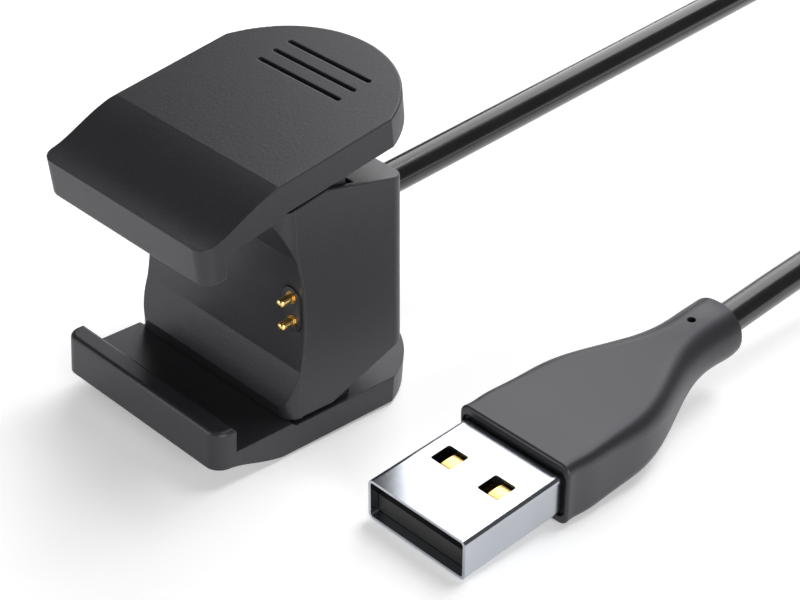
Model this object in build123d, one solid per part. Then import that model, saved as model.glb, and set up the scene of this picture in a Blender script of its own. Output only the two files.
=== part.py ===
from build123d import *
import os
from math import cos, pi, radians, sin, sqrt, tan

# Clip-on charging lead: a sprung two-jaw clip with two contacts, a round lead and a USB-A plug.
#
# The clip is drawn in the block's frame: X to the right, Y to the back, Z up, with Z = 0 at the
# block's mid height and Y = 0 at its front face. Both jaws are the same lever: the upper one is
# drawn, leaned about the block's ridge, and mirrored for the lower one. The whole clip is then
# leaned until the lower jaw lies flat at Z = 0. The plug is drawn along Y from its mouth.

os.makedirs("parts", exist_ok=True)

# ---- Driving dimensions, mm ----------------------------------------------------------------
# Jaws
JAW_W = 22.5                # width of both jaws
JAW_FRONT = 8.9             # how far the lips stand in front of the block
HANDLE_Y = 13.6             # where the straight sides end and the round of the handle begins
HANDLE_BULGE = 7.56         # how far the round end stands out beyond them
JAW_T = 3.02                # thickness of the handle plate
NOSE_T = 1.45               # thickness of the jaw just behind its lip
NOSE_DROP = 1.98            # the S-shaped step from the handle down to the nose
LIP_H = 4.1                 # height of the lip's front face
LIP_T = 2.35                # thickness of the lip
LEAN = 5.2                  # lean of each closed jaw, degrees
JAW_CORNER_R = 1.45         # upright corners of the nose
OPEN_DEG = 20.0             # how far a jaw opens when its handle is squeezed

# Grip grooves in the handles
GROOVE_L = 11.1
GROOVE_W = 0.55
GROOVE_DEPTH = 0.45
GROOVE_PITCH = 1.9
GROOVE_COUNT = 3
GROOVE_FIRST_Y = 12.7

# Block
SIDE_GAP = 0.15             # the block stands in from the jaws' sides by this
RIDGE_Y = 5.53              # the ridge where the block is tallest
RIDGE_Z = 11.93
FRONT_FALL = 1.2            # the top falls to the front this much more than a jaw leans, degrees
REAR_Y = 15.45              # back face
REAR_Z = 9.1                # height of the back face's top edge
JAW_GAP = 0.34              # between the ridge and a closed jaw
FRONT_CORNER_R = 1.6
REAR_CORNER_R = 1.7
EDGE_R = 0.18               # small rounding along the block's side edges
SIDE_WALL = 0.8             # side walls of the electronics cavity
CAVITY_HALF_H = 5.4
BACK_WALL = 2.45

# Cradle panel
RECESS_TOP = 10.1           # the recess starts this far above and below the mid height
RECESS_KINK_Z = 6.2         # where its flat facet meets the hollow curve
RECESS_KINK_Y = 1.6
RECESS_DEPTH = 2.35
PANEL_LIP = 0.27            # thickness of the panel's edge beside the hollow
PANEL_EDGE_Y = 1.75         # back of the panel's edge above and below the hollow
PANEL_T = 1.2               # thickness of the panel between the side walls
FIT = 0.05                  # clearance of pieces that are pushed or glued together

# Contacts
PIN_FROM_SIDE = 1.5         # both contacts stand close to one side
PIN_PITCH = 2.6
ISLAND_W = 2.1
ISLAND_H = 4.8
ISLAND_PROUD = 0.25         # the island stands this far out of the hollow
ISLAND_DEEP = 1.15          # the island's full width goes this deep, in front of the side wall
ISLAND_TAIL = 0.8           # it reaches this far behind the panel
BARREL_R = 0.64
BARREL_BORE = 0.54
BARREL_L = 4.2
BARREL_END = 0.3            # thickness of the barrel's crimped mouth and of its blind end
PIN_R = 0.43
SKIRT_R = 0.50
SKIRT_L = 0.8
PIN_OUT = 1.5               # how far the pins stand out of the island
PIN_TRAVEL = 0.9
RUN_GAP = 0.03              # running clearance of the pins
PIN_WIRE_R = 0.07           # the springs behind the pins
PIN_WIRE_TURNS = 6
TAIL_R = 0.25

# Board
BOARD_T = 0.8
BOARD_H = 9.0
BOARD_LEFT = -6.5
FUSE_L, FUSE_W, FUSE_T = 3.2, 1.6, 1.0
FUSE_Z = -3.65
PAD_X = 1.2                 # the cores are soldered this far left and right of the middle

# Hinges
PIVOT_Y = 7.2               # hinge axis, in the block's frame, mirrored for the lower jaw
PIVOT_Z = 9.75
PIN_DIA = 1.2
HINGE_RUN = 0.06            # radial clearance of an ear on its pin
EYE_R = 1.25                # round end of a jaw's ear
EAR_T = 1.4
EAR_SIDE = 0.15             # clearance each side of an ear in its pocket
EAR_WALL = 0.5              # wall outside the ear's pocket
POCKET_FRONT = 5.62
POCKET_BACK = 9.15
POCKET_FLOOR = 7.9

# Hinge springs
WIRE_D = 0.55
SPRING_TURNS = 5.5
SPRING_PITCH = 0.62
SPRING_GAP = 0.12           # from the pin to the inside of the coil
SPRING_LEG = 3.3
LEG_RISE = 30.0             # the jaw's leg climbs to the handle at this angle, degrees
LEG_LAP = 0.2               # the legs run this far into the coil
LEG_THIN = 0.005            # and are this much thinner in radius, so that the two join cleanly
SPRING_BAY_HALF = 4.4       # half length of the bay that the spring lies in
BAY_GAP = 0.2

# Lead
CORD_D = 3.4
CORE_D = 0.8                # each of the two insulated cores
RELIEF_L = 5.4
RELIEF_R_IN = 3.1
RELIEF_R_OUT = 2.45
FLANGE_T = 0.9
FLANGE_R = 3.6
ANCHOR_L = 2.0
ANCHOR_R = 2.6

# Plug
SHELL_W = 12.0
SHELL_H = 4.5
SHELL_T = 0.3
SHELL_R = 0.6
SHELL_OUT = 12.5            # bare length of the shell
SHELL_IN = 5.5              # length held in the overmould
WINDOW_W = 2.5
WINDOW_L = 2.5
WINDOW_X = 2.9
WINDOW_Y = 7.2
WINDOW_R = 0.25
TONGUE_TOP = 0.0
TONGUE_BACK_L = 3.0
STRIP_W = 1.0
STRIP_T = 0.15
STRIP_X = [-3.5, -1.0, 1.0, 3.5]
STRIP_Y = 1.6
CORE_W = 12.8               # the hard moulding behind the shell
CORE_H = 5.3
CORE_R = 0.9
CORE_L = 8.0
CORE_SET_BACK = 0.35        # it shows this far inside the overmould's mouth
MOULD_W = 13.6              # the overmould where it is widest, and its rounded corners
MOULD_H = 6.9
MOULD_R = 1.0
NECK_W = 6.4                # and its neck
NECK_H = 6.0
NECK_R = 2.9
MOULD_FLARE_Y = 23.0        # it narrows from here
MOULD_NECK_Y = 37.5         # to here
MOULD_BACK = 42.3           # end of the neck
MOULD_HOLLOW = 0.5          # its middle stands this much lower
NECK_UP = 0.3               # and its neck this much higher
MOULD_STEPS = 11            # spans between its sections
MOULD_EDGE_R = 0.25
DIMPLE_Y = 38.0
DIMPLE_R = 0.45
DIMPLE_FLOOR = 2.0          # height of its floor above the plug's middle
FERRULE_L = 7.0
FERRULE_R = 2.3
PLUG_X = 28.76              # where the middle of the plug's mouth lies, in the clip's row
PLUG_Y = -6.0
PLUG_TILT = 5.2             # the plug rests nose down on its overmould's front edge

# Lead route in the clip's row: corners of the two free stretches, and the put-away coil
STRAIGHT_BACK = 42.27       # the lead runs straight back from the block as far as this
CLIP_ROUTE = [(-0.15, 70.0, 21.75), (-0.8, 95.0, 23.6), (-3.2, 109.0, 19.5), (-7.0, 121.0, 11.5)]
CLIP_ENTRY = 13.0           # it runs this far straight into the coil
PLUG_STRAIGHT = 35.0        # and straight back from the plug's mouth as far as this
PLUG_ROUTE = [(28.9, 62.0, 9.38), (30.6, 80.0, 6.0), (34.0, 97.0, 2.3)]
PLUG_ENTRY = 24.0
COIL_AT = (13.0, 146.0)
COIL_R = 23.2               # centreline of the outermost turn
COIL_TURNS = 6.5
COIL_LAYERS = 2
TIE_T = 0.6
TIE_W = 5.0
TIE_DEG = 270.0
COIL_BOTTOM = TIE_T


# ---- Helpers -------------------------------------------------------------------------------
def block_box(x0, x1, y0, y1, z0, z1):
    return Pos((x0 + x1) / 2, (y0 + y1) / 2, (z0 + z1) / 2) * Box(x1 - x0, y1 - y0, z1 - z0)


def rod_x(r, x0, x1, y, z):
    return Pos((x0 + x1) / 2, y, z) * (Rot(0, 90, 0) * Cylinder(r, x1 - x0))


def rod_y(r, y0, y1, x=0.0, z=0.0):
    return Pos(x, (y0 + y1) / 2, z) * (Rot(90, 0, 0) * Cylinder(r, y1 - y0))


def cone_y(r0, r1, y0, y1):
    """A taper along Y with radius r0 at y0 and r1 at y1."""
    return Pos(0, (y0 + y1) / 2, 0) * (Rot(-90, 0, 0) * Cone(r0, r1, y1 - y0))


def flipped(shape):
    """The same thing below the mid height."""
    return mirror(shape, about=Plane.XY)


def one(shape):
    """The single solid of a shape that should have just one."""
    solids = shape.solids()
    assert len(solids) == 1, f"expected one solid, got {len(solids)}"
    return solids[0]


# ---- Jaws ----------------------------------------------------------------------------------
jaw_out = RIDGE_Z + JAW_GAP + JAW_T      # outer face of a jaw, before it leans
nose_out = jaw_out - NOSE_DROP
nose_in = nose_out - NOSE_T
handle_in = RIDGE_Z + JAW_GAP
lip_low = nose_out - LIP_H
handle_end = HANDLE_Y + HANDLE_BULGE
ear_out = JAW_W / 2 - SIDE_GAP - EAR_WALL - EAR_SIDE
ear_in = ear_out - EAR_T
STEP_Y0, STEP_Y1 = 0.25, 0.75     # the inner face steps out in front of the block
NOSE_Y = 0.14                     # the outer face starts to fall towards the nose here
LIP_ROUND = 0.45
LIP_DRAFT = 0.1
EDGE_EASE = 0.2


def jaw_profile():
    """Side outline of a jaw before it leans: handle plate, S-shaped step, nose and lip."""
    front = -JAW_FRONT
    step = Spline((NOSE_Y, jaw_out), (-3.3, nose_out + 0.62 * NOSE_DROP),
                  (-6.0, nose_out + 0.17 * NOSE_DROP), (front, nose_out), tangents=[(-1, -0.12), (-1, 0)])
    rest = Polyline((front, nose_out), (front, lip_low), (front + LIP_T - LIP_DRAFT, lip_low),
                    (front + LIP_T, nose_in), (STEP_Y0, nose_in), (STEP_Y1, handle_in),
                    (handle_end + 1, handle_in), (handle_end + 1, jaw_out), (NOSE_Y, jaw_out))
    return make_face(Plane.YZ * (step + rest))


def jaw_outline():
    """Plan of a jaw: straight nose with rounded corners, and the D-shaped handle."""
    w, front = JAW_W / 2, -JAW_FRONT
    edge = Polyline((-w, HANDLE_Y), (-w, front), (w, front), (w, HANDLE_Y))
    plan = make_face(edge + ThreePointArc((w, HANDLE_Y), (0, handle_end), (-w, HANDLE_Y)))
    corners = [v for v in plan.vertices() if v.Y < front + 0.01]
    return fillet(corners, JAW_CORNER_R)


def make_jaw():
    plate = extrude(jaw_profile(), JAW_W / 2 + 1, both=True)
    plan = Pos(0, 0, lip_low - 1) * extrude(jaw_outline(), jaw_out - lip_low + 2)
    jaw = one(plate & plan)
    lip_edges = [e for e in jaw.edges()
                 if e.center().Z < lip_low + 0.01 and e.center().Y < -JAW_FRONT + LIP_T]
    jaw = fillet(lip_edges, LIP_ROUND)
    rim = [e for e in jaw.edges() if abs(e.center().Z - jaw_out) < 0.01 and e.center().Y > 1
           and e.bounding_box().max.Z - e.bounding_box().min.Z < 0.01]
    jaw = fillet(rim, EDGE_EASE)
    for k in range(GROOVE_COUNT):
        slot = Pos(0, GROOVE_FIRST_Y + k * GROOVE_PITCH, jaw_out - GROOVE_DEPTH) * extrude(
            SlotOverall(GROOVE_L, GROOVE_W), GROOVE_DEPTH + 1)
        jaw -= slot
    return one(jaw)


def lean(shape):
    """Lean an upper jaw about the ridge into its closed place."""
    turn = Pos(0, RIDGE_Y, RIDGE_Z) * Rot(LEAN, 0, 0) * Pos(0, -RIDGE_Y, -RIDGE_Z)
    return turn * shape


def jaw_with_ears():
    """The closed upper jaw with its two ears round the hinge axis."""
    jaw = lean(make_jaw())
    for side in (-1, 1):
        x0, x1 = sorted((side * ear_in, side * ear_out))
        web = block_box(x0, x1, PIVOT_Y - EYE_R, PIVOT_Y + EYE_R, PIVOT_Z, handle_in + 0.6)
        upright = Pos(0, PIVOT_Y, PIVOT_Z) * Rot(LEAN, 0, 0) * Pos(0, -PIVOT_Y, -PIVOT_Z)
        jaw += upright * (web + rod_x(EYE_R, x0, x1, PIVOT_Y, PIVOT_Z))
    return one(jaw - rod_x(PIN_DIA / 2 + HINGE_RUN, -JAW_W, JAW_W, PIVOT_Y, PIVOT_Z))


# ---- Block and cradle ----------------------------------------------------------------------
body_half = JAW_W / 2 - SIDE_GAP
slope_in = tan(radians(LEAN + FRONT_FALL))
front_z = RIDGE_Z - slope_in * RIDGE_Y    # height of the front's top edge
edge_top = front_z + slope_in * PANEL_EDGE_Y
cavity_back = REAR_Y - BACK_WALL
pin_x = body_half - PIN_FROM_SIDE
HOLLOW_EDGE_Z = 7.0               # the panel's edge follows the hollow between these heights
panel_back = RECESS_DEPTH + PANEL_T


def seam_edge():
    """The line along which the panel's thin edge meets the block, from top to bottom."""
    top = Line((PANEL_EDGE_Y, edge_top), (PANEL_EDGE_Y, HOLLOW_EDGE_Z))
    bow = ThreePointArc((PANEL_EDGE_Y, HOLLOW_EDGE_Z), (RECESS_DEPTH + PANEL_LIP, 0),
                        (PANEL_EDGE_Y, -HOLLOW_EDGE_Z))
    end = Line((PANEL_EDGE_Y, -HOLLOW_EDGE_Z), (PANEL_EDGE_Y, -edge_top))
    return top + bow + end


def block_blank():
    """The block behind the seam, before its pockets and cavity are cut."""
    back = Polyline((PANEL_EDGE_Y, -edge_top), (RIDGE_Y, -RIDGE_Z), (REAR_Y, -REAR_Z), (REAR_Y, REAR_Z),
                    (RIDGE_Y, RIDGE_Z), (PANEL_EDGE_Y, edge_top))
    blank = extrude(make_face(Plane.YZ * (seam_edge() + back)), body_half, both=True)
    upright = [e for e in blank.edges() if abs(e.center().Y - REAR_Y) < 0.01
               and abs(abs(e.center().X) - body_half) < 0.01]
    blank = fillet(upright, REAR_CORNER_R)
    long_edges = [e for e in blank.edges() if abs(abs(e.center().X) - body_half) < 0.01
                  and abs(e.center().Z) > REAR_Z and e.center().Y > PANEL_EDGE_Y]
    return one(fillet(long_edges, EDGE_R))


def hinge_cuts():
    """Everything cut from the block for the upper hinge."""
    pocket_in, pocket_out = ear_in - EAR_SIDE, ear_out + EAR_SIDE
    cuts = [block_box(s * pocket_in if s > 0 else -pocket_out, s * pocket_out if s > 0 else -pocket_in,
                      POCKET_FRONT, POCKET_BACK, POCKET_FLOOR, RIDGE_Z + 1) for s in (-1, 1)]
    cuts.append(rod_x(PIN_DIA / 2, -pocket_out, pocket_out, PIVOT_Y, PIVOT_Z))
    coil_r = PIN_DIA / 2 + SPRING_GAP + WIRE_D
    cuts.append(block_box(-SPRING_BAY_HALF, SPRING_BAY_HALF, PIVOT_Y - coil_r - BAY_GAP,
                          PIVOT_Y + SPRING_LEG + BAY_GAP, PIVOT_Z - coil_r, RIDGE_Z + 1))
    return cuts


def make_body_shell():
    shell = block_blank()
    for cut in hinge_cuts():
        shell -= cut
        shell -= flipped(cut)
    inner = body_half - SIDE_WALL
    shell -= block_box(-inner, inner, 0, cavity_back, -CAVITY_HALF_H, CAVITY_HALF_H)
    shell -= rod_y(RELIEF_R_IN, cavity_back - 1, REAR_Y + 1)
    shell -= along_y(island_plan(FIT), 0, island_front + ISLAND_DEEP + FIT)
    return one(shell)


def recess_cutter():
    """The hollow that the tracker's back lies in, cut across the whole width."""
    up = Line((0, RECESS_TOP), (RECESS_KINK_Y, RECESS_KINK_Z))
    bow = ThreePointArc((RECESS_KINK_Y, RECESS_KINK_Z), (RECESS_DEPTH, 0), (RECESS_KINK_Y, -RECESS_KINK_Z))
    out = Polyline((RECESS_KINK_Y, -RECESS_KINK_Z), (0, -RECESS_TOP), (-5, -RECESS_TOP),
                   (-5, RECESS_TOP), (0, RECESS_TOP))
    return extrude(make_face(Plane.YZ * (up + bow + out)), JAW_W, both=True)


def island_plan(grow):
    """Outline of the contact island in X and Z, grown all round."""
    slot = Rot(0, 0, 90) * SlotOverall(ISLAND_H + 2 * grow, ISLAND_W + 2 * grow)
    return Pos(pin_x, 0, 0) * (Rot(90, 0, 0) * slot)


island_front = RECESS_DEPTH - ISLAND_PROUD
pin_heights = {"upper": PIN_PITCH / 2, "lower": -PIN_PITCH / 2}
barrel_back = island_front + BARREL_L
board_front = barrel_back


def along_y(face, y0, y1):
    return Pos(0, y0, 0) * extrude(face, y1 - y0, dir=(0, 1, 0))


def make_cradle_face():
    front = Polyline((PANEL_EDGE_Y, -edge_top), (0, -front_z), (0, front_z), (PANEL_EDGE_Y, edge_top))
    edge = extrude(make_face(Plane.YZ * (seam_edge() + front)), body_half, both=True)
    corners = [e for e in edge.edges()
               if abs(e.center().Y) < 0.01 and abs(abs(e.center().X) - body_half) < 0.01]
    edge = fillet(corners, FRONT_CORNER_R)
    inner = body_half - SIDE_WALL - FIT
    tall = CAVITY_HALF_H - FIT
    core = block_box(-inner, inner, RECESS_KINK_Y, panel_back, -tall, tall)
    panel = edge + core - recess_cutter()
    panel -= along_y(island_plan(FIT), -1, panel_back + 1)
    return one(panel)


def make_contact_block():
    """The stadium-shaped island; behind the side wall's front it is cut narrow to clear the wall."""
    wall = body_half - SIDE_WALL - FIT
    block = along_y(island_plan(0), island_front, panel_back + ISLAND_TAIL)
    block -= block_box(wall, JAW_W, island_front + ISLAND_DEEP, barrel_back, -ISLAND_H, ISLAND_H)
    for z in pin_heights.values():
        block -= rod_y(BARREL_R, 0, barrel_back, pin_x, z)
    return one(block)


def make_barrel(z):
    """A turned barrel with a crimped mouth, a blind bore and a solder tail."""
    barrel = rod_y(BARREL_R, island_front, barrel_back, pin_x, z)
    barrel -= rod_y(BARREL_BORE, island_front + BARREL_END, barrel_back - BARREL_END, pin_x, z)
    barrel -= rod_y(PIN_R + RUN_GAP, island_front - 1, island_front + BARREL_END + 0.01, pin_x, z)
    return one(barrel + rod_y(TAIL_R, barrel_back - 0.01, board_front + BOARD_T + 0.4, pin_x, z))


skirt_front = island_front + BARREL_END + RUN_GAP
skirt_back = skirt_front + SKIRT_L
spring_back = barrel_back - BARREL_END
END_GAP = 0.01                    # between a pin spring's ends and what they press on


def make_plunger(z):
    tip = island_front - PIN_OUT
    pin = rod_y(PIN_R, tip, skirt_back, pin_x, z)
    pin = fillet([e for e in pin.edges() if abs(e.center().Y - tip) < 0.01], PIN_R * 0.8)
    return one(pin + rod_y(SKIRT_R, skirt_front, skirt_back, pin_x, z))


def coil_spring(wire_r, mean_r, pitch, turns):
    """A helical spring along Z from its lower end, as one swept solid."""
    path = Helix(pitch, pitch * turns, mean_r)
    start = Plane(path @ 0, z_dir=path % 0)
    return one(sweep(start * Circle(wire_r), path=path, is_frenet=True))


def make_pin_spring(z):
    start = skirt_back + PIN_WIRE_R + END_GAP
    room = spring_back - PIN_WIRE_R - END_GAP - start
    mean_r = BARREL_BORE - PIN_WIRE_R - 2 * RUN_GAP
    spring = coil_spring(PIN_WIRE_R, mean_r, room / PIN_WIRE_TURNS, PIN_WIRE_TURNS)
    return Pos(pin_x, start, z) * (Rot(-90, 0, 0) * spring)


def make_board():
    right = body_half - SIDE_WALL - 0.1
    board = block_box(BOARD_LEFT, right, board_front, board_front + BOARD_T, -BOARD_H / 2, BOARD_H / 2)
    for z in pin_heights.values():
        board -= rod_y(TAIL_R, board_front - 1, board_front + BOARD_T + 1, pin_x, z)
    return one(board)


def make_fuse():
    """A resettable fuse, a flat chip on the back of the board."""
    y0 = board_front + BOARD_T
    return block_box(-FUSE_L / 2, FUSE_L / 2, y0, y0 + FUSE_T, FUSE_Z - FUSE_W / 2, FUSE_Z + FUSE_W / 2)


def tube_along(points, radius):
    """A round tube of straight runs and tangent arcs, each arc as large as its runs allow."""
    radii = []
    for a, b, c in zip(points, points[1:], points[2:]):
        into, out = Vector(*b) - Vector(*a), Vector(*c) - Vector(*b)
        half = radians(into.get_angle(out)) / 2
        radii.append(0.45 * min(into.length, out.length) / tan(half))
    path = FilletPolyline(*points, radius=radii)
    start = Plane(path @ 0, z_dir=path % 0)
    tube = one(sweep(start * Circle(radius), path=path))
    slack = tube.volume / (pi * radius ** 2 * path.length)
    print(f"tube {path.length:.1f} mm, radii {[round(r, 1) for r in radii]}, volume share {slack:.4f}")
    return tube, path.length


def make_wire(side):
    """One core, from the end of the lead's jacket to its pad on the board."""
    start, pad = jacket_front, board_front + BOARD_T
    step = (start - pad) / 3
    apart = CORE_D / 2 + RUN_GAP
    points = [(side * apart, start, 0), (side * (0.8 * apart + 0.2 * PAD_X), start - step, 0),
              (side * (0.1 * apart + 0.9 * PAD_X), pad + step, 0), (side * PAD_X, pad, 0)]
    return tube_along(points, CORE_D / 2)[0]


def make_hinge_pin():
    half = ear_out + EAR_SIDE
    return rod_x(PIN_DIA / 2, -half, half, PIVOT_Y, PIVOT_Z)


def make_hinge_spring():
    """A torsion spring round the hinge pin; one leg rests on the block, one lifts the handle."""
    wire_r = WIRE_D / 2
    mean = PIN_DIA / 2 + SPRING_GAP + wire_r
    turns = SPRING_TURNS - LEG_RISE / 360
    length = SPRING_PITCH * turns
    coil = Rot(0, 0, 180 + LEG_RISE) * coil_spring(wire_r, mean, SPRING_PITCH, turns)
    coil = Rot(0, 90, 0) * coil
    leg_r = wire_r - LEG_THIN
    block_leg = rod_y(leg_r, -LEG_LAP, SPRING_LEG, length, -mean)
    jaw_leg = Rot(LEG_RISE, 0, 0) * rod_y(leg_r, -LEG_LAP, SPRING_LEG, 0, mean)
    return one(Pos(-length / 2, PIVOT_Y, PIVOT_Z) * (coil + block_leg + jaw_leg))


def make_relief():
    """Moulded sleeve through the back wall, flanged inside and tapered outside."""
    sleeve = rod_y(FLANGE_R, relief_front, cavity_back) + rod_y(RELIEF_R_IN, cavity_back, REAR_Y)
    sleeve += cone_y(RELIEF_R_IN, RELIEF_R_OUT, REAR_Y, relief_end)
    return one(sleeve - rod_y(CORD_D / 2, relief_front - 1, relief_end + 1))


def make_anchor():
    """Crimped collar round the jacket, inside the back wall."""
    collar = rod_y(ANCHOR_R, jacket_front, relief_front)
    return one(collar - rod_y(CORD_D / 2, jacket_front - 1, relief_front + 1))


# ---- Plug ----------------------------------------------------------------------------------
def plug_rect(w, h, r, y, up=0.0):
    """A rounded rectangle across the plug, y from its mouth and up above its middle."""
    return Pos(0, y, up) * (Rot(90, 0, 0) * RectangleRounded(w, h, r))


def make_shell():
    length = SHELL_OUT + SHELL_IN
    shell = along_y(plug_rect(SHELL_W, SHELL_H, SHELL_R, 0), 0, length)
    bore = plug_rect(SHELL_W - 2 * SHELL_T, SHELL_H - 2 * SHELL_T, SHELL_R - SHELL_T, 0)
    shell -= along_y(bore, -1, length + 1)
    for side in (-1, 1):
        shell -= Pos(side * WINDOW_X, WINDOW_Y, 0) * extrude(
            RectangleRounded(WINDOW_W, WINDOW_L, WINDOW_R), SHELL_H, both=True)
    return one(shell)


tongue_low = -SHELL_H / 2 + SHELL_T
tongue_back = SHELL_OUT + SHELL_IN
TONGUE_FRONT = 1.0


def make_tongue():
    """The insulator: a tongue low in the mouth and a block that fills the shell behind it."""
    half_in = SHELL_W / 2 - SHELL_T
    tongue = block_box(-half_in + FIT, half_in - FIT, TONGUE_FRONT, tongue_back, tongue_low + FIT, TONGUE_TOP)
    tongue += block_box(-half_in + FIT, half_in - FIT, tongue_back - SHELL_IN - TONGUE_BACK_L, tongue_back,
                        tongue_low + FIT, -tongue_low - FIT)
    low_edges = [e for e in tongue.edges() if abs(abs(e.center().X) - half_in + FIT) < 0.01
                 and abs(abs(e.center().Z) + tongue_low + FIT) < 0.01]
    tongue = fillet(low_edges, SHELL_R - SHELL_T)
    for strip in strip_blanks():
        tongue -= strip
    return one(tongue)


def strip_blanks():
    return [block_box(x - STRIP_W / 2, x + STRIP_W / 2, STRIP_Y, tongue_back - SHELL_IN - TONGUE_BACK_L,
                      TONGUE_TOP - STRIP_T, TONGUE_TOP + 0.02) for x in STRIP_X]


def make_strips():
    return Compound([one(strip) for strip in strip_blanks()])


core_front = SHELL_OUT + CORE_SET_BACK
core_back = core_front + CORE_L


def make_core():
    """Hard moulding that grips the back of the shell and the end of the jacket."""
    core = along_y(plug_rect(CORE_W, CORE_H, CORE_R, 0), core_front, core_back)
    core -= along_y(plug_rect(SHELL_W, SHELL_H, SHELL_R, 0), 0, tongue_back)
    core -= rod_y(CORD_D / 2, tongue_back, core_back + 1)
    return one(core)


def make_ferrule():
    """Crimp round the jacket, inside the overmould."""
    collar = rod_y(FERRULE_R, core_back, core_back + FERRULE_L)
    return one(collar - rod_y(CORD_D / 2, core_back - 1, MOULD_BACK))


def ease(start, end, y):
    """0 up to start, 1 from end on, and a smooth rise between."""
    share = min(1, max(0, (y - start) / (end - start)))
    return share * share * (3 - 2 * share)


def mould_section(y):
    """One section of the grip: flat and wide in front, nearly round at its neck."""
    narrowed, rounded = ease(MOULD_FLARE_Y, MOULD_NECK_Y, y), ease(SHELL_OUT, MOULD_NECK_Y, y)
    along = min(1, (y - SHELL_OUT) / (MOULD_NECK_Y - SHELL_OUT))
    return plug_rect(MOULD_W + (NECK_W - MOULD_W) * narrowed, MOULD_H + (NECK_H - MOULD_H) * narrowed,
                     MOULD_R + (NECK_R - MOULD_R) * rounded, y,
                     NECK_UP * narrowed - MOULD_HOLLOW * sin(pi * along))


def make_overmould():
    """The soft grip, a little hollow on top and lifted at its neck; the lead's bore is cut later."""
    step = (MOULD_BACK - SHELL_OUT) / MOULD_STEPS
    mould = loft([mould_section(SHELL_OUT + k * step) for k in range(MOULD_STEPS + 1)])
    front_edges = [e for e in mould.edges() if abs(e.center().Y - SHELL_OUT) < 0.01 and e.length > 0.1]
    mould = fillet(front_edges, MOULD_EDGE_R)
    mould -= along_y(plug_rect(CORE_W, CORE_H, CORE_R, 0), SHELL_OUT - 1, core_back)
    mould -= rod_y(FERRULE_R, core_back - 1, core_back + FERRULE_L)
    mould -= Pos(0, DIMPLE_Y, DIMPLE_FLOOR + SHELL_H / 2) * Cylinder(DIMPLE_R, SHELL_H)
    return one(mould)


# ---- Lead ----------------------------------------------------------------------------------
relief_front = cavity_back - FLANGE_T
relief_end = REAR_Y + RELIEF_L
jacket_front = relief_front - ANCHOR_L
layer_turns = COIL_TURNS / COIL_LAYERS
coil_inner = COIL_R - layer_turns * CORD_D
coil_low = COIL_BOTTOM + CORD_D / 2
coil_top = coil_low + (COIL_LAYERS - 1) * CORD_D


def make_coil():
    """The outer shape of the coil: a flat ring round a rectangle with rounded corners."""
    width, height = COIL_R - coil_inner + CORD_D, CORD_D * COIL_LAYERS
    section = Pos((COIL_R + coil_inner) / 2, 0, COIL_BOTTOM + height / 2) * (
        Rot(90, 0, 0) * RectangleRounded(width, height, 0.45 * CORD_D))
    return Pos(*COIL_AT, 0) * revolve(section, Axis.Z)


def make_tie():
    """A flat band round the coil's turns at one place."""
    inner_edge, outer_edge = coil_inner - CORD_D / 2, COIL_R + CORD_D / 2
    near = sqrt(inner_edge ** 2 - (TIE_W / 2) ** 2) - FIT
    height = CORD_D * COIL_LAYERS
    band = block_box(near - TIE_T, outer_edge + FIT + TIE_T, -TIE_W / 2, TIE_W / 2, 0, height + 2 * TIE_T)
    band -= block_box(near, outer_edge + FIT, -TIE_W, TIE_W, TIE_T, TIE_T + height)
    return Pos(*COIL_AT, 0) * (Rot(0, 0, TIE_DEG) * one(band))


# ---- Putting it together -------------------------------------------------------------------
def clip_parts():
    jaw, pin, spring = jaw_with_ears(), make_hinge_pin(), make_hinge_spring()
    parts = {
        "body_shell": make_body_shell(), "cradle_face": make_cradle_face(),
        "contact_block": make_contact_block(),
        "circuit_board": make_board(), "fuse_chip": make_fuse(),
        "supply_wire": make_wire(1), "return_wire": make_wire(-1),
        "cable_anchor": make_anchor(), "strain_relief": make_relief(),
        "upper_jaw": jaw, "lower_jaw": flipped(jaw),
        "upper_hinge_pin": pin, "lower_hinge_pin": flipped(pin),
        "upper_torsion_spring": spring, "lower_torsion_spring": flipped(spring),
    }
    for name, z in pin_heights.items():
        parts[f"pogo_barrel_{name}"] = make_barrel(z)
        parts[f"pogo_plunger_{name}"] = make_plunger(z)
        parts[f"pogo_spring_{name}"] = make_pin_spring(z)
    return parts


def plug_parts():
    return {"plug_shell": make_shell(), "plug_tongue": make_tongue(), "plug_contacts": make_strips(),
            "plug_core": make_core(), "plug_ferrule": make_ferrule(), "plug_overmould": make_overmould()}


ridge_low_z = RIDGE_Y * sin(radians(LEAN)) - RIDGE_Z * cos(radians(LEAN))
lift = (jaw_out - RIDGE_Z) - ridge_low_z          # sets the lower jaw's outer face at Z = 0
leaned = {name: Rot(LEAN, 0, 0) * shape for name, shape in clip_parts().items()}
boxes = [shape.bounding_box() for shape in leaned.values()]
shift = -(min(b.min.Y for b in boxes) + max(b.max.Y for b in boxes)) / 2
placed = {name: Pos(0, shift, lift) * shape for name, shape in leaned.items()}

tilted = {name: Rot(PLUG_TILT, 0, 0) * shape for name, shape in plug_parts().items()}
plug_rise = -min(shape.bounding_box().min.Z for shape in tilted.values())
placed.update({name: Pos(PLUG_X, PLUG_Y, plug_rise) * shape for name, shape in tilted.items()})


def in_row(x, y, z):
    """A point of the block's frame in the clip's resting place."""
    a = radians(LEAN)
    return (x, y * cos(a) - z * sin(a) + shift, y * sin(a) + z * cos(a) + lift)


def on_plug(y):
    a = radians(PLUG_TILT)
    return (PLUG_X, PLUG_Y + y * cos(a), plug_rise + y * sin(a))


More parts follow.
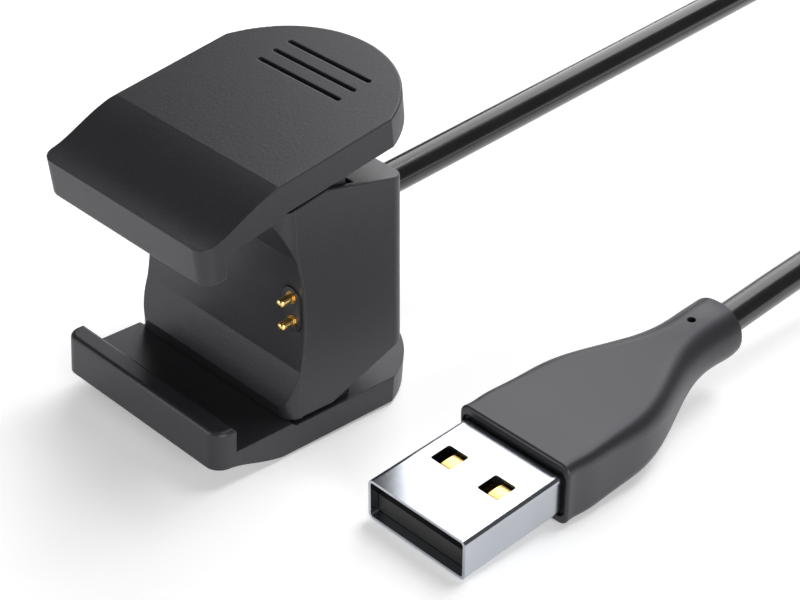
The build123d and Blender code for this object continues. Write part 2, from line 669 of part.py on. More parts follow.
cx, cy = COIL_AT
from_clip = [in_row(0, jacket_front, 0), in_row(0, STRAIGHT_BACK, 0), *CLIP_ROUTE,
             (cx - COIL_R, cy - CLIP_ENTRY, coil_top), (cx - COIL_R, cy, coil_top)]
to_plug = [on_plug(tongue_back), on_plug(PLUG_STRAIGHT), *PLUG_ROUTE,
           (cx + COIL_R, cy - PLUG_ENTRY, coil_low), (cx + COIL_R, cy, coil_low)]
coil = make_coil()
for name, route in (("lead_from_clip", from_clip), ("lead_to_plug", to_plug)):
    tube, length = tube_along(route, CORD_D / 2)
    placed[name] = one(tube - coil)
    print(name, f"{length:.1f} mm", [tuple(round(v, 2) for v in point) for point in route])
placed["plug_overmould"] = one(placed["plug_overmould"] - placed["lead_to_plug"])
placed["lead_coil"] = coil
placed["coil_tie"] = make_tie()
coil_length = COIL_TURNS * pi * (COIL_R + coil_inner)
print(f"coil {coil_length:.1f} mm, turns from r {coil_inner:.2f} to {COIL_R}")
print("pivots", in_row(0, PIVOT_Y, PIVOT_Z), in_row(0, PIVOT_Y, -PIVOT_Z))
print("exit", in_row(0, relief_end, 0), "shift", round(shift, 3), "lift", round(lift, 3))
print("plug mouth", on_plug(0), "neck end", on_plug(MOULD_BACK))

for name, shape in placed.items():
    export_step(shape, f"parts/{name}.step")
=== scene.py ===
# %% [markdown]
# # A clip-on charging lead
# The model is a small sprung clip that grips a wrist-worn tracker, with a round lead and a USB-A
# plug. Its hard parts come from CAD, in metres and already in place. This lesson gives them
# their finishes, and adds the lead, its tie, copies of the springs, and a few small
# details that CAD leaves out.

# %% Load the imported model
import math

import bmesh
import bpy
from mathutils import Matrix, Vector


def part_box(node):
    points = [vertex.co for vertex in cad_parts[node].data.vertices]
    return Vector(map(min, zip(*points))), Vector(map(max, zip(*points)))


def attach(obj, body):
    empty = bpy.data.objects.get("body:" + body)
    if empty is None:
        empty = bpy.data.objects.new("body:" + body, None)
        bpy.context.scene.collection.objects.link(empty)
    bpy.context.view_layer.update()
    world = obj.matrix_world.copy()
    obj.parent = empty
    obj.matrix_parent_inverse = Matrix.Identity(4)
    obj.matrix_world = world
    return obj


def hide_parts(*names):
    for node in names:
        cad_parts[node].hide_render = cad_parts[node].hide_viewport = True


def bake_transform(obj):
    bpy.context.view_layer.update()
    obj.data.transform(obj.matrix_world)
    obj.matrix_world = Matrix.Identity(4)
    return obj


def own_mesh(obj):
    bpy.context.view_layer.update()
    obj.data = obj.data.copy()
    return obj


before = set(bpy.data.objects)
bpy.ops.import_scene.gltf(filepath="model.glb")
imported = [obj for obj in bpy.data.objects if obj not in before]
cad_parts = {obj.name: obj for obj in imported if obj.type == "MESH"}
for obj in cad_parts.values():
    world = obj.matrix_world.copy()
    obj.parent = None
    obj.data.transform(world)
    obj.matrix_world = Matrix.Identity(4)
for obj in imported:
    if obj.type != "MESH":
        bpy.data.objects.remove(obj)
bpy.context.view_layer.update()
MM = 0.001

# %% [markdown]
# ## The camera
# A long lens from the front right and above. The camera's right, up and forward directions are
# written out, because that makes the view easy to repeat, with the few degrees that it is rolled.

# %% Place the camera
LENS_MM = 91.485
SENSOR_MM = 36.0
CAMERA_AT = Vector((122.70, -111.21, 113.47)) * MM
RIGHT = Vector((0.70253, 0.70871, 0.06468))
UP = Vector((-0.41437, 0.33347, 0.84681))
FORWARD = Vector((-0.57858, 0.62171, -0.52795))

camera = bpy.data.objects.new("camera", bpy.data.cameras.new("camera"))
bpy.context.scene.collection.objects.link(camera)
camera.data.lens = LENS_MM
camera.data.sensor_width = SENSOR_MM
camera.data.clip_start = 0.01
camera.matrix_world = Matrix.Translation(CAMERA_AT) @ Matrix((RIGHT, UP, -FORWARD)).transposed().to_4x4()
bpy.context.scene.camera = camera
print("camera looks along", [round(v, 3) for v in FORWARD])

# %% [markdown]
# ## The lean
# Clip and plug both lie leaning back by the same small angle. So one direction runs backwards
# along either of them, and another points up out of the plug's top face.

# %% Directions of the clip and the plug
LEAN = math.radians(5.2)
BACKWARDS = Vector((0, math.cos(LEAN), math.sin(LEAN)))
UPWARDS = Vector((0, -math.sin(LEAN), math.cos(LEAN)))
print("backwards is", [round(v, 3) for v in BACKWARDS])

# %% [markdown]
# ## The lead
# The real lead is one round flexible tube: it leaves the back of the clip, and comes back to the
# plug. Most of its length is put away in a flat coil under a tie, as it would be on a shelf.
# A NURBS curve with a round bevel suits it, because a few chosen points give one smooth line.
# The two free stretches have the points below; the coil's turns are added by a loop, in two
# layers: the upper one winds inwards, and the lower one winds back out under it.

# %% Route of the lead
LEAD_D = 3.4
COIL_AT = (13.0, 146.0)
COIL_R = 23.2
COIL_TURNS = 6.5
TURN_POINTS = 24
COIL_LOW, COIL_TOP = 2.3, 5.7          # heights of the two layers' middle lines
SPLINE_ORDER = 3
SPLINE_STEPS = 6                       # between two control points
BEVEL_FINENESS = 6

clip_route = [(0, 3.96, 15.66), (0, 35.99, 18.57), (-0.15, 70.0, 21.75), (-0.8, 95.0, 23.6),
              (-3.2, 109.0, 19.5), (-7.0, 121.0, 11.5), (-10.2, 133.0, COIL_TOP)]
plug_route = [(36.2, 122.0, COIL_LOW), (34.0, 97.0, COIL_LOW), (30.6, 80.0, 6.0),
              (28.9, 62.0, 9.38), (28.76, 28.86, 5.46), (28.76, 11.93, 3.92)]

steps = int(COIL_TURNS * TURN_POINTS)
corner_gain = 1 / math.cos(math.pi / TURN_POINTS)   # the curve cuts inside its control points
coil_route = []
for k in range(steps + 1):
    share = k / steps
    layer_share = 1 - abs(1 - 2 * share)             # 0 at both ends, 1 at the innermost turn
    radius = COIL_R - layer_share * COIL_TURNS / 2 * LEAD_D
    angle = math.pi - 2 * math.pi * COIL_TURNS * share
    drop = min(1, max(0, (share - 0.5) * COIL_TURNS * 2 + 0.5))
    height = COIL_TOP + (COIL_LOW - COIL_TOP) * drop
    coil_route.append((COIL_AT[0] + corner_gain * radius * math.cos(angle),
                       COIL_AT[1] + corner_gain * radius * math.sin(angle), height))


def nurbs_line(name, points):
    """A curve object with one open NURBS spline through the given control points, in mm."""
    curve = bpy.data.curves.new(name, "CURVE")
    curve.dimensions = "3D"
    spline = curve.splines.new("NURBS")
    spline.points.add(len(points) - 1)
    for point, spot in zip(spline.points, points):
        point.co = (*(v * MM for v in spot), 1)
        point.radius = MM                            # the bevel's depth is counted in these
    spline.order_u = SPLINE_ORDER
    spline.use_endpoint_u = True
    spline.resolution_u = SPLINE_STEPS
    piece = bpy.data.objects.new(name, curve)
    bpy.context.scene.collection.objects.link(piece)
    return piece


lead = nurbs_line("lead", clip_route + coil_route + plug_route)
lead.data.bevel_depth = LEAD_D / 2
lead.data.bevel_resolution = BEVEL_FINENESS
lead.data.use_fill_caps = True
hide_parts("lead_from_clip", "lead_coil", "lead_to_plug")
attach(lead, "block")
print("lead control points:", len(lead.data.splines[0].points))

# %% [markdown]
# ## Shader maths
# Finishes are built from nodes. So that their sums read like sums, a small class wraps one
# output socket, and its operators add Math nodes. One function adds any other node.

# %% A wrapper for sockets
class Wave:
    """One output of a node tree, which can be used in Python sums."""

    def __init__(self, tree, socket):
        self.tree, self.socket = tree, socket

    def maths(self, operation, *values):
        return node(self.tree, "ShaderNodeMath", {"operation": operation}, dict(enumerate(values)))

    def __add__(self, other):
        return self.maths("ADD", self, other)

    def __sub__(self, other):
        return self.maths("SUBTRACT", self, other)

    def __mul__(self, other):
        return self.maths("MULTIPLY", self, other)

    def __rsub__(self, other):
        return self.maths("SUBTRACT", other, self)

    __radd__ = __add__
    __rmul__ = __mul__


def node(tree, kind, settings=(), inputs=(), output=0):
    """Adds a node: its settings first, then the values or links of its sockets."""
    made = tree.nodes.new(kind)
    for key, value in dict(settings).items():
        setattr(made, key, value)
    for key, value in dict(inputs).items():
        if isinstance(value, Wave):
            tree.links.new(value.socket, made.inputs[key])
        else:
            made.inputs[key].default_value = value
    return Wave(tree, made.outputs[output])


# %% [markdown]
# ## What finishes share
# Moulded and drawn surfaces differ in the size of their grain, the depth of their bumps and two
# close tones, so these few functions serve every finish below.

# %% A finish and its parts
MIX_DARK, MIX_LIGHT, MIX_RESULT = 6, 7, 2      # the colour sockets of a Mix node
EDGE_SAMPLES = 4


def finish_material(name, **settings):
    """A new material with a Principled shader; settings are values for that shader's sockets."""
    material = bpy.data.materials.new(name)
    material.use_nodes = True
    tree = material.node_tree
    shader = next(n for n in tree.nodes if n.type == "BSDF_PRINCIPLED")
    for socket, value in settings.items():
        shader.inputs[socket.replace("_", " ").title().replace("Ior", "IOR")].default_value = value
    return material, tree, shader


def feed(tree, shader, socket, wave):
    tree.links.new(wave.socket, shader.inputs[socket])


def place(tree):
    """Object coordinates, in metres."""
    return node(tree, "ShaderNodeTexCoord", output="Object")


def grain(tree, size_mm, detail=2.0, roughness=0.5, where=None):
    """Noise from 0 to 1 whose lumps are about size_mm across."""
    where = where or place(tree)
    return node(tree, "ShaderNodeTexNoise", {}, {
        "Vector": where, "Scale": 1 / (size_mm * MM), "Detail": detail, "Roughness": roughness}, "Fac")


def blend_colours(tree, dark, light, mask):
    return node(tree, "ShaderNodeMix", {"data_type": "RGBA"},
                {"Factor": mask, MIX_DARK: (*dark, 1), MIX_LIGHT: (*light, 1)}, MIX_RESULT)


def bumps(tree, shader, height, depth_mm, strength=1.0, edge_mm=0.0):
    """Feeds the shader's normal with a bump whose height runs from 0 to depth_mm.

    With edge_mm, sharp edges also catch the light as if they were rounded to that radius."""
    inputs = {"Height": height, "Distance": depth_mm * MM, "Strength": strength}
    if edge_mm:
        inputs["Normal"] = node(tree, "ShaderNodeBevel", {"samples": EDGE_SAMPLES},
                                {"Radius": edge_mm * MM})
    feed(tree, shader, "Normal", node(tree, "ShaderNodeBump", {}, inputs, "Normal"))


def dress(material, *names):
    """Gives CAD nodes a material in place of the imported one."""
    for name in names:
        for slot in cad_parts[name].material_slots:
            slot.material = material
    print(material.name, "on", ", ".join(names))


# %% [markdown]
# ## Moulded shell plastic
# The jaws and the block are ABS with a fine spark-eroded grain: dark grey, nearly matte, with a
# broad soft sheen. The grain is a little under a fifth of a millimetre, with coarser specks. Slow
# variation in roughness keeps large faces from looking computed.

# %% Shell plastic
COOL = (0.92, 0.91, 1.0, 1)             # the faint violet of the plastics' sheen


def make_shell_plastic():
    material, tree, shader = finish_material("shell_plastic", specular_ior_level=0.46,
                                             specular_tint=COOL)
    fine, cloud = grain(tree, 0.16, 3), grain(tree, 7.0, 2)
    speck = grain(tree, 0.3, 1)
    mask = fine * 0.4 + cloud * 0.2 + speck * 0.4
    feed(tree, shader, "Base Color", blend_colours(tree, (0.008, 0.008, 0.009), (0.030, 0.030, 0.033), mask))
    feed(tree, shader, "Roughness", 0.34 + cloud * 0.06 + fine * 0.08)
    bumps(tree, shader, fine * 0.6 + speck * 0.4, 0.03, 0.6, edge_mm=0.16)
    return material


shell_plastic = make_shell_plastic()
dress(shell_plastic, "body_shell", "upper_jaw", "lower_jaw", "cradle_face")

# %% [markdown]
# ## Contacts and their island
# The island that carries the contacts is smoother than the shell round it. The pins and strips
# are gold over nickel: a warm yellow metal, cloudy in tone and very finely marked.

# %% Island and gold
def make_island_plastic():
    material, tree, shader = finish_material("island_plastic", specular_ior_level=0.5)
    fine = grain(tree, 0.1, 2)
    feed(tree, shader, "Base Color", blend_colours(tree, (0.018, 0.018, 0.02), (0.03, 0.03, 0.033), fine))
    feed(tree, shader, "Roughness", 0.36 + fine * 0.08)
    bumps(tree, shader, fine, 0.008, 0.5)
    return material


def make_gold():
    material, tree, shader = finish_material("gold", metallic=1.0)
    fine, cloud = grain(tree, 0.05, 2), grain(tree, 0.8, 2)
    feed(tree, shader, "Base Color", blend_colours(tree, (0.80, 0.50, 0.13), (1.0, 0.72, 0.30), cloud))
    feed(tree, shader, "Roughness", 0.16 + cloud * 0.10 + fine * 0.08)
    bumps(tree, shader, fine, 0.002, 0.4)
    return material


island_plastic, gold = make_island_plastic(), make_gold()
dress(island_plastic, "contact_block")
dress(gold, "pogo_plunger_upper", "pogo_plunger_lower", "pogo_barrel_upper", "pogo_barrel_lower",
      "plug_contacts")

# %% [markdown]
# ## Lead jacket
# The jacket is glossy black PVC. It isn't quite even: a slow ripple of a few hundredths of a
# millimetre from the extruder breaks up its long highlights, and the coat keeps them sharp.

# %% Jacket
def make_jacket():
    material, tree, shader = finish_material("jacket", specular_ior_level=0.5,
                                             coat_weight=0.2, coat_roughness=0.04)
    slow, fine = grain(tree, 5.0, 2), grain(tree, 0.25, 2)
    feed(tree, shader, "Base Color", blend_colours(tree, (0.006, 0.006, 0.007), (0.012, 0.012, 0.013), slow))
    feed(tree, shader, "Roughness", 0.16 + slow * 0.06 + fine * 0.05)
    bumps(tree, shader, slow * 0.85 + fine * 0.15, 0.05, 0.5)
    return material


jacket = make_jacket()
lead.data.materials.append(jacket)
print("jacket on the lead")

# %% [markdown]
# ## Plug
# The grip is a softer TPE overmould with a satin skin. The shell is folded steel plated with
# bright nickel, with very faint lengthwise rolling marks. The insulator in its mouth is a dull
# black nylon, and the inner moulding that shows as a dark line round the shell is darker still.

# %% Plug finishes
def make_grip():
    material, tree, shader = finish_material("grip", specular_ior_level=0.45, specular_tint=COOL)
    fine, cloud = grain(tree, 0.12, 3), grain(tree, 9.0, 2)
    feed(tree, shader, "Base Color",
         blend_colours(tree, (0.016, 0.016, 0.018), (0.026, 0.026, 0.030), fine * 0.5 + cloud * 0.5))
    feed(tree, shader, "Roughness", 0.34 + cloud * 0.06 + fine * 0.05)
    bumps(tree, shader, fine, 0.006, 0.5)
    return material


def make_nickel():
    material, tree, shader = finish_material("bright_nickel", metallic=1.0)
    stretched = node(tree, "ShaderNodeMapping", {},
                     {"Vector": place(tree), "Scale": (1.0, 0.04, 1.0)}, "Vector")
    rolled, cloud = grain(tree, 0.08, 3, where=stretched), grain(tree, 4.0, 2)
    feed(tree, shader, "Base Color", blend_colours(tree, (0.40, 0.42, 0.46), (0.48, 0.50, 0.54), cloud))
    feed(tree, shader, "Roughness", 0.12 + rolled * 0.10 + cloud * 0.05)
    bumps(tree, shader, rolled, 0.0025, 0.35)
    return material


def make_dull_black(name, level, rough=0.5):
    material, tree, shader = finish_material(name, specular_ior_level=0.4)
    fine = grain(tree, 0.15, 2)
    dark, light = (level * 0.7,) * 3, (level * 1.3,) * 3
    feed(tree, shader, "Base Color", blend_colours(tree, dark, light, fine))
    feed(tree, shader, "Roughness", rough + fine * 0.12)
    bumps(tree, shader, fine, 0.01, 0.5)
    return material


grip, nickel = make_grip(), make_nickel()
nylon = make_dull_black("nylon", 0.022)
inner_mould = make_dull_black("inner_mould", 0.008, 0.6)
dress(grip, "plug_overmould")
dress(nickel, "plug_shell")
dress(nylon, "plug_tongue")
dress(inner_mould, "plug_core")

# %% [markdown]
# ## Spring leaves under the shell's windows
# Something gilt shows through each window of the shell. Here it is a thin leaf: a narrow strip of
# sheet metal with a gentle bow, so it is built as a swept section, not as a box.

# %% Spring leaves
PLUG_MOUTH = Vector((28.76, -6.0, 2.284)) * MM
LEAF_X = (-2.55, 3.25)              # the middles of the leaves, from the plug's middle
LEAF_HALF_W, LEAF_T = 0.75, 0.14
LEAF_FRONT, LEAF_BACK = 5.3, 9.4
LEAF_TOP = 1.86
LEAF_SPANS = 10
LEAF_BOW = 0.5                      # how deep the bow is
BOW_FROM, BOW_OVER = 0.15, 0.75     # the part of a half wave that the bow follows


def on_plug(x, y, z):
    """A point of the plug's own frame, in mm, in its resting place."""
    return PLUG_MOUTH + (Vector((x, 0, 0)) + BACKWARDS * y + UPWARDS * z) * MM


def make_leaves():
    """Two bowed strips, as one mesh of two closed shells."""
    built = bmesh.new()
    section = [(-1, 0.3), (-0.9, 0), (0.9, 0), (1, 0.3), (1, 0.7), (0.9, 1), (-0.9, 1), (-1, 0.7)]
    for middle_x in LEAF_X:
        rings = []
        for k in range(LEAF_SPANS + 1):
            y = LEAF_FRONT + (LEAF_BACK - LEAF_FRONT) * k / LEAF_SPANS
            top = LEAF_TOP - LEAF_BOW * (1 - math.sin(math.pi * (BOW_FROM + BOW_OVER * k / LEAF_SPANS)))
            rings.append([built.verts.new(on_plug(middle_x + LEAF_HALF_W * across, y, top - LEAF_T * deep))
                          for across, deep in section])
        for here, there in zip(rings, rings[1:]):
            for k in range(len(section)):
                after = (k + 1) % len(section)
                built.faces.new((here[k], here[after], there[after], there[k]))
        built.faces.new(rings[0])
        built.faces.new(rings[-1])
    bmesh.ops.recalc_face_normals(built, faces=built.faces)
    mesh = bpy.data.meshes.new("spring_leaves")
    built.to_mesh(mesh)
    built.free()
    mesh.materials.append(gold)
    leaves = bpy.data.objects.new("spring_leaves", mesh)
    bpy.context.scene.collection.objects.link(leaves)
    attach(leaves, "block")
    print("spring leaves, faces:", len(mesh.polygons))


make_leaves()

# %% [markdown]
# ## Metal and rubber inside the clip
# Hinge pins are ground steel, the springs are drawn wire, the crimps are tinned, and the relief
# where the lead leaves the block is a soft black rubber.

# %% Inner finishes
def make_steel(name, tone, rough):
    material, tree, shader = finish_material(name, metallic=1.0)
    fine, cloud = grain(tree, 0.07, 2), grain(tree, 1.5, 2)
    feed(tree, shader, "Base Color",
         blend_colours(tree, [0.85 * v for v in tone], tone, cloud * 0.6 + fine * 0.4))
    feed(tree, shader, "Roughness", rough + fine * 0.12)
    bumps(tree, shader, fine, 0.004, 0.4)
    return material


dress(make_steel("ground_steel", (0.66, 0.66, 0.67), 0.22), "upper_hinge_pin", "lower_hinge_pin")
spring_wire = make_steel("spring_wire", (0.52, 0.52, 0.54), 0.30)
dress(make_steel("tinned_crimp", (0.70, 0.70, 0.68), 0.34), "cable_anchor", "plug_ferrule")
relief_rubber = make_dull_black("relief_rubber", 0.018, 0.42)
dress(relief_rubber, "strain_relief")

# %% [markdown]
# ## Spring copies
# A CAD spring is rigid, so it would stay behind when a jaw or a pin moves. Each one is replaced by
# a copy of its mesh with its points joined up, in drawn wire: the hinge springs' copies keep their
# place, and the pin springs' copies ride on the block.

# %% Spring copies
SAME_POINT = 1e-6                   # metres


def live_copy(node_name):
    """A copy of a CAD spring with its mesh joined up, in place of the rigid one."""
    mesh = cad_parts[node_name].data.copy()
    built = bmesh.new()
    built.from_mesh(mesh)
    bmesh.ops.remove_doubles(built, verts=built.verts, dist=SAME_POINT)
    built.to_mesh(mesh)
    built.free()
    mesh.materials.clear()
    mesh.materials.append(spring_wire)
    mesh.polygons.foreach_set("material_index", [0] * len(mesh.polygons))
    mesh.polygons.foreach_set("use_smooth", [True] * len(mesh.polygons))
    piece = bpy.data.objects.new(node_name.replace("spring", "live_spring"), mesh)
    bpy.context.scene.collection.objects.link(piece)
    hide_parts(node_name)
    return piece


for side in ("upper", "lower"):
    spring = live_copy(f"{side}_torsion_spring")
    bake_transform(spring)
    spring = live_copy(f"pogo_spring_{side}")
    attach(spring, "block")
    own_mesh(spring)
    print(side, "springs follow their jaw and their pin")

# %% [markdown]
# ## Board, chip and cores
# The board is under green solder mask, and the two cores have red and black insulation. All are
# smooth coloured surfaces that differ in tone and gloss, so one function makes the four finishes.

# %% Board, chip and cores
def make_paint(name, dark, light, rough, lump_mm):
    material, tree, shader = finish_material(name)
    fine = grain(tree, lump_mm, 2)
    feed(tree, shader, "Base Color", blend_colours(tree, dark, light, fine))
    feed(tree, shader, "Roughness", rough + fine * 0.1)
    bumps(tree, shader, fine, 0.005, 0.5)
    return material


dress(make_paint("solder_mask", (0.008, 0.10, 0.04), (0.014, 0.15, 0.06), 0.25, 1.2), "circuit_board")
dress(make_paint("chip", (0.02, 0.05, 0.03), (0.03, 0.07, 0.04), 0.5, 0.2), "fuse_chip")
dress(make_paint("red_core", (0.42, 0.01, 0.008), (0.55, 0.02, 0.015), 0.3, 0.4), "supply_wire")
dress(make_paint("black_core", (0.01, 0.01, 0.011), (0.02, 0.02, 0.022), 0.3, 0.4), "return_wire")

# %% [markdown]
# ## Geometry Nodes for what repeats
# Rings and stitches repeat along a line, so a small node tree makes each set: one shape is put on
# many points, and its sizes are named inputs. The result is then turned into a plain mesh.

# %% Build and run a geometry tree
def geometry_tree(name, sizes):
    """A geometry tree with a named input for each size; returns it and its inputs."""
    tree = bpy.data.node_groups.new(name, "GeometryNodeTree")
    tree.interface.new_socket("Geometry", in_out="OUTPUT", socket_type="NodeSocketGeometry")
    tree.interface.new_socket("Geometry", in_out="INPUT", socket_type="NodeSocketGeometry")
    for label, value in sizes.items():
        kind = "NodeSocketInt" if isinstance(value, int) else "NodeSocketFloat"
        tree.interface.new_socket(label, in_out="INPUT", socket_type=kind)
    inlet = tree.nodes.new("NodeGroupInput")
    return tree, {socket.name: Wave(tree, socket) for socket in inlet.outputs if socket.name}


def end_tree(tree, instances, material):
    """Real geometry instead of instances, one material, and the output."""
    real = node(tree, "GeometryNodeRealizeInstances", {}, {"Geometry": instances})
    painted = node(tree, "GeometryNodeSetMaterial", {}, {"Geometry": real, "Material": material})
    outlet = tree.nodes.new("NodeGroupOutput")
    tree.links.new(painted.socket, outlet.inputs[0])


def grow(name, base, tree, sizes, body):
    """Runs a geometry tree on a base mesh and keeps the result as a plain piece on a body."""
    seed = bpy.data.objects.new(name + "_base", base)
    bpy.context.scene.collection.objects.link(seed)
    modifier = seed.modifiers.new("grow", "NODES")
    modifier.node_group = tree
    for item in tree.interface.items_tree:
        if item.name in sizes:
            modifier[item.identifier] = sizes[item.name]
    mesh = bpy.data.meshes.new_from_object(seed.evaluated_get(bpy.context.evaluated_depsgraph_get()))
    bpy.data.objects.remove(seed)
    mesh.polygons.foreach_set("use_smooth", [True] * len(mesh.polygons))
    piece = bpy.data.objects.new(name, mesh)
    bpy.context.scene.collection.objects.link(piece)
    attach(piece, body)
    print(name, "faces:", len(mesh.polygons))


# %% [markdown]
# ## Ribs of the strain relief
# Where the lead leaves the block, a short tapered sleeve keeps it from kinking. Real ones have a
# row of soft rings that let the sleeve bend. The clip leans back by 5.2 degrees, and so do they.

# %% Relief ribs
RIBS_FROM = Vector((0, 8.00, 16.14)) * MM          # inside the block, just above the sleeve's middle
RIB_FIRST_AT = 1.0                                 # from there to the first ring
RIB_SPACING = 1.15
RELIEF_R_THICK, RELIEF_R_THIN, RELIEF_LENGTH = 3.1, 2.45, 5.4
RELIEF_TAPER = (RELIEF_R_THICK - RELIEF_R_THIN) / RELIEF_LENGTH

rib_sizes = {"Count": 4, "Spacing": RIB_SPACING * MM, "First Radius": 3.0 * MM,
             "Shrink": RIB_SPACING * RELIEF_TAPER * MM, "Thickness": 0.28 * MM}


def make_rib_tree():
    """Rings along the sleeve; each is smaller than the one before it."""
    tree, size = geometry_tree("relief_ribs", rib_sizes)
    step = node(tree, "ShaderNodeCombineXYZ", {}, {"Y": size["Spacing"] * math.cos(LEAN),
                                                   "Z": size["Spacing"] * math.sin(LEAN)})
    line = node(tree, "GeometryNodeMeshLine", {"mode": "OFFSET"}, {
        "Count": size["Count"], "Offset": step,
        "Start Location": tuple(RIBS_FROM + BACKWARDS * (RIB_FIRST_AT * MM))})
    ring = node(tree, "GeometryNodeCurvePrimitiveCircle", {"mode": "RADIUS"},
                {"Resolution": 48, "Radius": size["First Radius"]})
    bead = node(tree, "GeometryNodeCurvePrimitiveCircle", {"mode": "RADIUS"},
                {"Resolution": 12, "Radius": size["Thickness"]})
    rib = node(tree, "GeometryNodeCurveToMesh", {}, {"Curve": ring, "Profile Curve": bead})
    shrunk = 1 - node(tree, "GeometryNodeInputIndex") * size["Shrink"] * (1 / rib_sizes["First Radius"])
    ribs = node(tree, "GeometryNodeInstanceOnPoints", {}, {
        "Points": line, "Instance": rib, "Rotation": (math.pi / 2 + LEAN, 0, 0), "Scale": shrunk})
    end_tree(tree, ribs, relief_rubber)
    return tree


grow("relief_ribs", bpy.data.meshes.new("point"), make_rib_tree(), rib_sizes, "block")

# %% [markdown]
# ## The tie
# The put-away turns are held by a narrow band of woven nylon. Its loop is a rounded rectangle
# round the coil's turns, and its edges are softly rolled. A row of stitches runs along each edge.

# %% Tie cloth
THREAD_MM = 0.22


def make_tie_cloth(name, dark, light):
    """Two sets of fine waves, the second aslant of the first."""
    material, tree, shader = finish_material(name, specular_ior_level=0.3)
    wave_scale = 0.5 / (THREAD_MM * MM) / math.pi
    waves = [node(tree, "ShaderNodeTexWave", {"bands_direction": way},
                  {"Vector": place(tree), "Scale": wave_scale, "Distortion": 0.4}, "Fac")
             for way in ("X", "DIAGONAL")]
    weave = waves[0] * 0.5 + waves[1] * 0.5
    feed(tree, shader, "Base Color", blend_colours(tree, dark, light, weave))
    feed(tree, shader, "Roughness", 0.82 - weave * 0.14)
    bumps(tree, shader, weave, 0.06, 0.8)
    return material


tie_cloth = make_tie_cloth("tie_cloth", (0.012, 0.012, 0.013), (0.035, 0.035, 0.038))
thread = make_tie_cloth("tie_thread", (0.05, 0.05, 0.055), (0.09, 0.09, 0.095))

# %% The band's loop
tie_low, tie_high = (Vector(corner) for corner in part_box("coil_tie"))
BAND_T = 0.5 * MM
BAND_R = 2.2 * MM
BAND_INSET = 0.1 * MM               # each edge lies this far inside the CAD tie's
BAND_CLEAR = 0.03 * MM              # and its outer face this far
BAND_HALF_W = (tie_high.x - tie_low.x) / 2 - BAND_INSET
CORNER_STEPS = 8
SECTION_POINTS = 16
WIDTH_POWER, DEPTH_POWER = 0.35, 0.8   # they square up the section's ellipse
middle = (tie_low + tie_high) / 2


def band_path(outward):
    """Points and outward directions round the tie, in the YZ plane, outward of its middle line."""
    half = ((tie_high - tie_low) / 2).yz - Vector((1, 1)) * (BAND_T / 2 + BAND_CLEAR)
    path = []
    for corner, (side, rise) in enumerate(((1, 1), (-1, 1), (-1, -1), (1, -1))):
        for k in range(CORNER_STEPS + 1):
            turn = math.radians(90 * corner + 90 * k / CORNER_STEPS)
            way = Vector((math.cos(turn), math.sin(turn)))
            centre = Vector((side * (half.x - BAND_R), rise * (half.y - BAND_R)))
            path.append((centre + way * (BAND_R + outward), way))
    return path


def make_band():
    """The band: a thin section with rolled edges, carried round the loop."""
    section = []
    for k in range(SECTION_POINTS):
        turn = 2 * math.pi * (k + 0.5) / SECTION_POINTS
        wide, deep = math.cos(turn), math.sin(turn)
        section.append((BAND_HALF_W * math.copysign(abs(wide) ** WIDTH_POWER, wide),
                        BAND_T / 2 * math.copysign(abs(deep) ** DEPTH_POWER, deep)))
    built = bmesh.new()
    rings = []
    for spot, way in band_path(0):
        ring = [built.verts.new((middle.x + across, middle.y + spot.x + way.x * out,
                                 middle.z + spot.y + way.y * out)) for across, out in section]
        rings.append(ring)
    for here, there in zip(rings, rings[1:] + rings[:1]):
        for k in range(SECTION_POINTS):
            after = (k + 1) % SECTION_POINTS
            built.faces.new((here[k], here[after], there[after], there[k]))
    bmesh.ops.recalc_face_normals(built, faces=built.faces)
    mesh = bpy.data.meshes.new("tie_band")
    built.to_mesh(mesh)
    built.free()
    mesh.polygons.foreach_set("use_smooth", [True] * len(mesh.polygons))
    mesh.materials.append(tie_cloth)
    band = bpy.data.objects.new("tie_band", mesh)
    bpy.context.scene.collection.objects.link(band)
    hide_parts("coil_tie")
    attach(band, "block")
    return band


tie_band = make_band()
print("tie band faces:", len(tie_band.data.polygons))

# %% Stitches along the band
stitch_sizes = {"Spacing": 0.9 * MM, "Length": 0.3 * MM, "Thickness": 0.09 * MM}
ROW_AT = 0.72                       # share of the band's half width
STITCH_OUT = 0.42                   # share of the band's thickness, from its middle


def stitch_lines():
    """Two closed lines on the band's outer face, as edges without faces."""
    places, edges = [], []
    ring = band_path(BAND_T * STITCH_OUT)
    for across in (-ROW_AT, ROW_AT):
        first = len(places)
        places += [(middle.x + across * BAND_HALF_W, middle.y + spot.x, middle.z + spot.y)
                   for spot, _ in ring]
        edges += [(first + k, first + (k + 1) % len(ring)) for k in range(len(ring))]
    mesh = bpy.data.meshes.new("stitch_lines")
    mesh.from_pydata(places, edges, [])
    return mesh


def make_stitch_tree():
    """A small spindle on evenly spaced points, turned to lie along its line."""
    tree, size = geometry_tree("stitches", stitch_sizes)
    curve = node(tree, "GeometryNodeMeshToCurve", {}, {"Mesh": size["Geometry"]})
    points = node(tree, "GeometryNodeCurveToPoints", {"mode": "LENGTH"},
                  {"Curve": curve, "Length": size["Spacing"]})
    turn = Wave(tree, points.socket.node.outputs["Rotation"])
    ball = node(tree, "GeometryNodeMeshUVSphere", {}, {"Segments": 8, "Rings": 6, "Radius": 1.0})
    stretch = node(tree, "ShaderNodeCombineXYZ", {}, {
        "X": size["Thickness"], "Y": size["Thickness"], "Z": size["Length"]})
    stitches = node(tree, "GeometryNodeInstanceOnPoints", {}, {
        "Points": points, "Instance": ball, "Rotation": turn, "Scale": stretch})
    end_tree(tree, stitches, thread)
    return tree


grow("tie_stitches", stitch_lines(), make_stitch_tree(), stitch_sizes, "block")

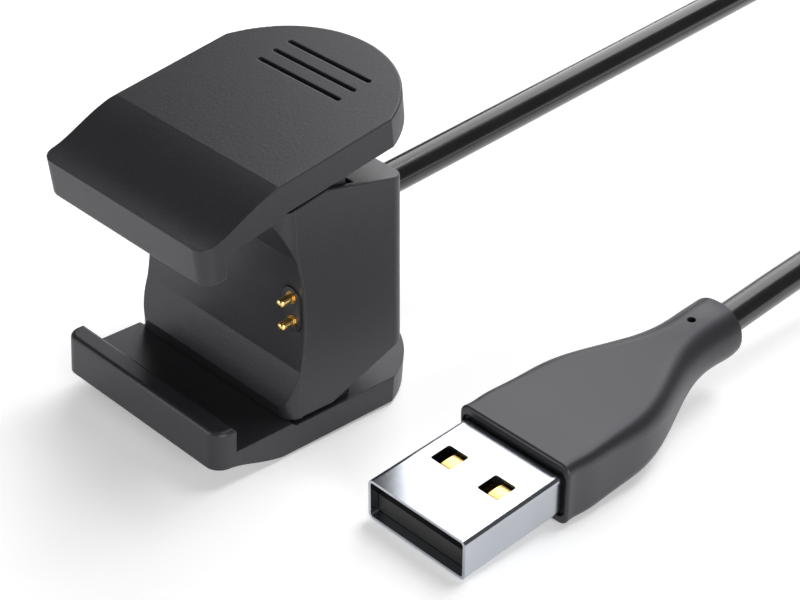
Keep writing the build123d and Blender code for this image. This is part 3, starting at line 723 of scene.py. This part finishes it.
# %% [markdown]
# ## Floor and light
# A plain pale floor, lit a little from within like a product table, and soft studio light: one
# broad light above and behind, which grazes the top faces, one straight above that whitens the
# floor, a softer one on each side, and a dim world that fills the shadows. To the camera the
# world looks brighter than it shines, so that the backdrop stays pale.

# %% Floor
FLOOR_HALF = 3.0
FLOOR_DROP = 0.2 * MM               # so that no face of the model lies in the floor's plane


def make_floor():
    mesh = bpy.data.meshes.new("floor")
    corners = [(x * FLOOR_HALF, y * FLOOR_HALF, 0) for x, y in ((-1, -1), (1, -1), (1, 1), (-1, 1))]
    mesh.from_pydata(corners, [], [(0, 1, 2, 3)])
    floor = bpy.data.objects.new("floor", mesh)
    bpy.context.scene.collection.objects.link(floor)
    floor.location.z = -FLOOR_DROP
    material, _, shader = finish_material("floor", roughness=0.7)
    shader.inputs["Base Color"].default_value = (0.94, 0.94, 0.94, 1)
    shader.inputs["Emission Color"].default_value = (1.0, 1.0, 1.0, 1)
    shader.inputs["Emission Strength"].default_value = 0.3
    floor.data.materials.append(material)


make_floor()

# %% Light
CENTRE = Vector((0.012, 0.01, 0.012))          # what the lights face, in metres


def soft_light(name, direction, distance, size, power):
    """A square light at a distance along a direction from the model, facing it."""
    data = bpy.data.lights.new(name, "AREA")
    data.shape, data.size, data.energy = "SQUARE", size, power
    light = bpy.data.objects.new(name, data)
    bpy.context.scene.collection.objects.link(light)
    away = Vector(direction).normalized()
    light.location = CENTRE + away * distance
    light.rotation_mode = "QUATERNION"
    light.rotation_quaternion = away.to_track_quat("Z", "Y")
    print(name, "light at", [round(v, 2) for v in light.location])


soft_light("overhead", (-0.36, 0.76, 0.58), 0.8, 0.7, 5.0)
soft_light("zenith", (0.1, 0.35, 1.0), 1.2, 0.5, 5.0)
soft_light("left_front", (-0.55, -1.0, 0.22), 0.7, 0.3, 1.4)
soft_light("right", (1.0, -0.25, 0.25), 0.7, 0.4, 3.6)

world = bpy.data.worlds.new("studio")
world.use_nodes = True
backdrop = next(n for n in world.node_tree.nodes if n.type == "BACKGROUND")
backdrop.inputs["Color"].default_value = (1.0, 1.0, 1.0, 1)
WORLD_LIGHT, WORLD_SEEN = 0.10, 0.85    # what it adds to the light, and how it looks itself
seen = node(world.node_tree, "ShaderNodeLightPath", output="Is Camera Ray")
feed(world.node_tree, backdrop, "Strength", WORLD_LIGHT + seen * (WORLD_SEEN - WORLD_LIGHT))
bpy.context.scene.world = world
bpy.context.scene.view_settings.view_transform = "Standard"

# %% Bring the scene up to date
bpy.context.view_layer.update()
